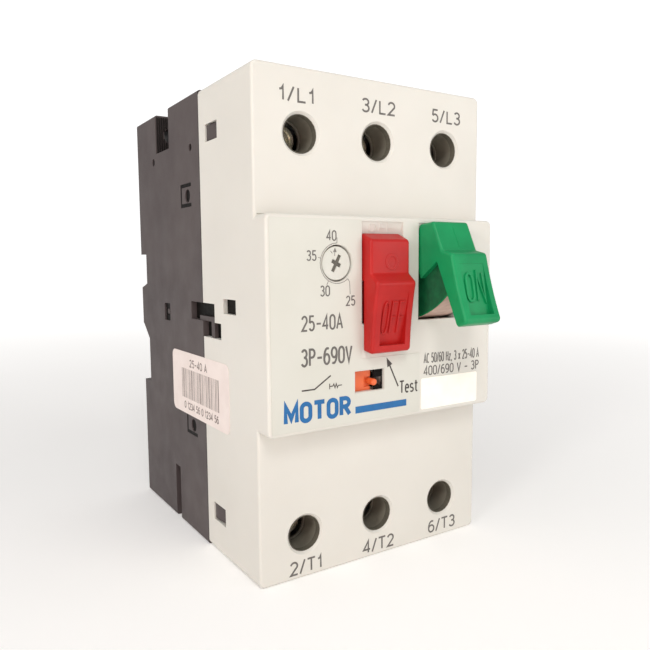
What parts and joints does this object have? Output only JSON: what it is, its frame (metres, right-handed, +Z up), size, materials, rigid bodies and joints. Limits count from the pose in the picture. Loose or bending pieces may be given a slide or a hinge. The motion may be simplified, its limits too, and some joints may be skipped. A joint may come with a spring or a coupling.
{
  "type": "motor protection breaker",
  "caption": "Three-pole motor protection circuit breaker with rocker on and off buttons, a current setting dial, a test slider, screw clamps and a seat for a 35 mm rail.",
  "frame": {"origin": "centre of the rear mounting plane, at mid width and mid height", "axes": "+Z up as mounted on a wall, +Y from the front to the rear mounting plane, +X to the right seen from the front"},
  "size_m": [0.0621, 0.0942, 0.1084],
  "materials": {
    "dark_housing": "fine-textured dark grey thermoplastic",
    "cream_housing": "satin cream-white thermoplastic",
    "grey_insulator": "matte dark grey insulating plastic",
    "red_button": "satin red plastic",
    "green_button": "satin green plastic",
    "cream_dial": "satin cream plastic",
    "orange_slider": "satin orange plastic",
    "black_clip": "glass-filled black plastic",
    "red_brown_bar": "thermoset trip bar",
    "fibre_board": "vulcanised fibre board",
    "bright_steel": "ground steel pin",
    "zinc_steel": "zinc-plated pressed steel",
    "zinc_screw": "zinc-plated screw",
    "zinc_clamp": "zinc-plated clamp cage",
    "spring_steel": "spring wire",
    "copper": "bare copper",
    "enamel_copper": "enamelled copper winding",
    "silver_contact": "silver alloy contact",
    "bimetal": "bimetal strip and resistance ribbon",
    "paper_label": "self-adhesive label",
    "film_label": "printed rating film"
  },
  "bodies": {
    "housing": {"arc_chute_cheeks": "fibre_board", "arc_splitter_plates": "zinc_steel", "base": "dark_housing", "bimetal_strips": "bimetal", "blank_label": "paper_label", "button_pin": "bright_steel", "case_screws": "zinc_steel", "clip_spring": "spring_steel", "cover": "cream_housing", "fixed_contacts": "silver_contact", "heater_windings": "bimetal", "insulating_deck": "grey_insulator", "line_busbars": "copper", "line_shroud": "grey_insulator", "load_busbars": "copper", "load_contact_arms": "copper", "load_shroud": "grey_insulator", "magnet_coils": "enamel_copper", "magnet_yokes": "zinc_steel", "mechanism_pins": "bright_steel", "mechanism_plates": "zinc_steel", "rating_label": "film_label", "side_label": "paper_label", "test_spring": "spring_steel"},
    "off_button": {"off_button": "red_button"},
    "on_button": {"on_button": "green_button"},
    "setting_dial": {"setting_dial": "cream_dial"},
    "test_slider": {"test_slider": "orange_slider"},
    "contact_set": {"contact_carrier": "black_clip", "contact_bridges": "copper", "contact_springs": "spring_steel"},
    "drive_lever": {"drive_lever": "zinc_steel"},
    "latch": {"latch": "zinc_steel"},
    "trip_bar": {"trip_bar": "red_brown_bar"},
    "plungers": {"magnet_plungers": "zinc_steel"},
    "rail_clip": {"rail_clip": "black_clip"},
    "line_screw_1": {"line_screw_1": "zinc_screw"},
    "line_screw_2": {"line_screw_2": "zinc_screw"},
    "line_screw_3": {"line_screw_3": "zinc_screw"},
    "load_screw_1": {"load_screw_1": "zinc_screw"},
    "load_screw_2": {"load_screw_2": "zinc_screw"},
    "load_screw_3": {"load_screw_3": "zinc_screw"},
    "line_clamp_1": {"line_clamp_1": "zinc_clamp"},
    "line_clamp_2": {"line_clamp_2": "zinc_clamp"},
    "line_clamp_3": {"line_clamp_3": "zinc_clamp"},
    "load_clamp_1": {"load_clamp_1": "zinc_clamp"},
    "load_clamp_2": {"load_clamp_2": "zinc_clamp"},
    "load_clamp_3": {"load_clamp_3": "zinc_clamp"}
  },
  "joints": [
    {"name": "on_button_rock", "type": "hinge", "parent": "housing", "child": "on_button", "pos_m": [0, -0.0714, 0.0242], "axis": [1, 0, 0], "range_deg": [0, 25.2]},
    {"name": "off_button_rock", "type": "hinge", "parent": "housing", "child": "off_button", "pos_m": [0, -0.0714, 0.0242], "axis": [1, 0, 0], "range_deg": [-25.2, 0]},
    {"name": "contact_slide", "type": "slide", "parent": "housing", "child": "contact_set", "axis": [0, 1, 0], "range_m": [0, 0.003]},
    {"name": "drive_lever_turn", "type": "hinge", "parent": "housing", "child": "drive_lever", "pos_m": [0.0055, -0.06, -0.006], "axis": [1, 0, 0], "range_deg": [-8.2, 0]},
    {"name": "setting_dial_turn", "type": "hinge", "parent": "housing", "child": "setting_dial", "pos_m": [-0.0144, -0.079, 0.0143], "axis": [0, -1, 0], "range_deg": [0, 218]},
    {"name": "test_slide", "type": "slide", "parent": "housing", "child": "test_slider", "axis": [1, 0, 0], "range_m": [0, 0.0017], "stiffness_N_per_m": 150, "springref_m": -0.001, "deforming": ["test_spring"]},
    {"name": "trip_bar_turn", "type": "hinge", "parent": "housing", "child": "trip_bar", "pos_m": [0, -0.045, -0.028], "axis": [1, 0, 0], "range_deg": [0, 8]},
    {"name": "latch_turn", "type": "hinge", "parent": "housing", "child": "latch", "pos_m": [0.0055, -0.06, -0.014], "axis": [1, 0, 0], "range_deg": [-4, 0]},
    {"name": "plunger_slide", "type": "slide", "parent": "housing", "child": "plungers", "axis": [0, -1, 0], "range_m": [0, 0.0011], "stiffness_N_per_m": 300, "springref_m": -0.0005},
    {"name": "rail_clip_slide", "type": "slide", "parent": "housing", "child": "rail_clip", "axis": [0, 0, -1], "range_m": [0, 0.003], "stiffness_N_per_m": 800, "springref_m": -0.002, "deforming": ["clip_spring"]},
    {"name": "line_screw_1_turn", "type": "hinge", "parent": "housing", "child": "line_screw_1", "pos_m": [-0.0198, -0.065, 0.0409], "axis": [0, 1, 0], "range_deg": [0, 1440]},
    {"name": "line_clamp_1_slide", "type": "slide", "parent": "housing", "child": "line_clamp_1", "axis": [0, -1, 0], "range_m": [0, 0.0032]},
    {"name": "line_screw_2_turn", "type": "hinge", "parent": "housing", "child": "line_screw_2", "pos_m": [0, -0.065, 0.0409], "axis": [0, 1, 0], "range_deg": [0, 1440]},
    {"name": "line_clamp_2_slide", "type": "slide", "parent": "housing", "child": "line_clamp_2", "axis": [0, -1, 0], "range_m": [0, 0.0032]},
    {"name": "line_screw_3_turn", "type": "hinge", "parent": "housing", "child": "line_screw_3", "pos_m": [0.0198, -0.065, 0.0409], "axis": [0, 1, 0], "range_deg": [0, 1440]},
    {"name": "line_clamp_3_slide", "type": "slide", "parent": "housing", "child": "line_clamp_3", "axis": [0, -1, 0], "range_m": [0, 0.0032]},
    {"name": "load_screw_1_turn", "type": "hinge", "parent": "housing", "child": "load_screw_1", "pos_m": [-0.0198, -0.065, -0.0445], "axis": [0, 1, 0], "range_deg": [0, 1440]},
    {"name": "load_clamp_1_slide", "type": "slide", "parent": "housing", "child": "load_clamp_1", "axis": [0, -1, 0], "range_m": [0, 0.0032]},
    {"name": "load_screw_2_turn", "type": "hinge", "parent": "housing", "child": "load_screw_2", "pos_m": [0, -0.065, -0.0445], "axis": [0, 1, 0], "range_deg": [0, 1440]},
    {"name": "load_clamp_2_slide", "type": "slide", "parent": "housing", "child": "load_clamp_2", "axis": [0, -1, 0], "range_m": [0, 0.0032]},
    {"name": "load_screw_3_turn", "type": "hinge", "parent": "housing", "child": "load_screw_3", "pos_m": [0.0198, -0.065, -0.0445], "axis": [0, 1, 0], "range_deg": [0, 1440]},
    {"name": "load_clamp_3_slide", "type": "slide", "parent": "housing", "child": "load_clamp_3", "axis": [0, -1, 0], "range_m": [0, 0.0032]}
  ],
  "couplings": [
    {"joint": "off_button_rock", "follows": "on_button_rock", "ratio": -1},
    {"joint": "contact_slide", "follows": "on_button_rock", "m_per_rad": 0.0068208},
    {"joint": "drive_lever_turn", "follows": "on_button_rock", "ratio": -0.32539},
    {"joint": "trip_bar_turn", "follows": "test_slide", "rad_per_m": 82.133},
    {"joint": "latch_turn", "follows": "test_slide", "rad_per_m": -41.066},
    {"joint": "line_screw_1_turn", "follows": "line_clamp_1_slide", "rad_per_m": 7853.9},
    {"joint": "line_screw_2_turn", "follows": "line_clamp_2_slide", "rad_per_m": 7853.9},
    {"joint": "line_screw_3_turn", "follows": "line_clamp_3_slide", "rad_per_m": 7853.9},
    {"joint": "load_screw_1_turn", "follows": "load_clamp_1_slide", "rad_per_m": 7853.9},
    {"joint": "load_screw_2_turn", "follows": "load_clamp_2_slide", "rad_per_m": 7853.9},
    {"joint": "load_screw_3_turn", "follows": "load_clamp_3_slide", "rad_per_m": 7853.9}
  ]
}
